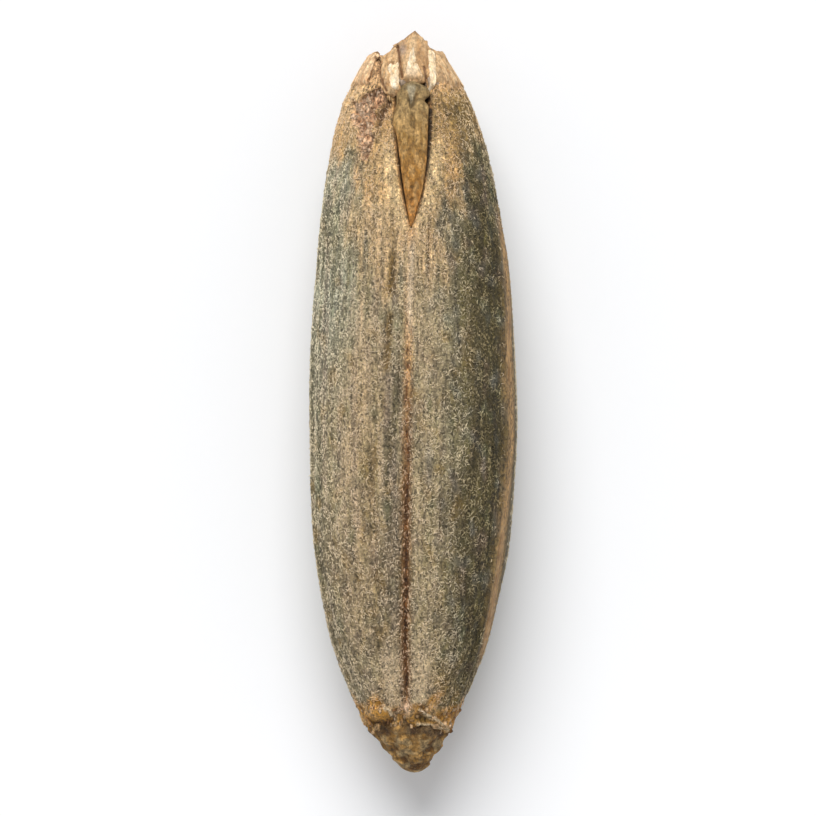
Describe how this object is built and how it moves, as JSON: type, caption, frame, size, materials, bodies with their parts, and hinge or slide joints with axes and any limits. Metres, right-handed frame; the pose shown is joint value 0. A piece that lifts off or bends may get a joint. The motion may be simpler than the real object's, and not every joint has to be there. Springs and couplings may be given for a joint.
{
  "type": "rye grain",
  "caption": "Single rye grain lying on its rounded back: long ribbed body with a crease down its face, a sunken germ tongue, a frayed tip and a rough pointed base scar.",
  "frame": {"origin": "on the surface the grain lies on, under the middle of its length and width", "axes": "+Y along the grain towards its frayed end with the germ, +Z up out of the creased face, +X to the right of someone who looks down on that face with +Y up"},
  "size_m": [0.0022, 0.008, 0.002],
  "materials": {
    "bran": "dry matt grey-green bran with a fine pale down"
  },
  "bodies": {
    "root": {"grain": "bran"}
  },
  "joints": []
}
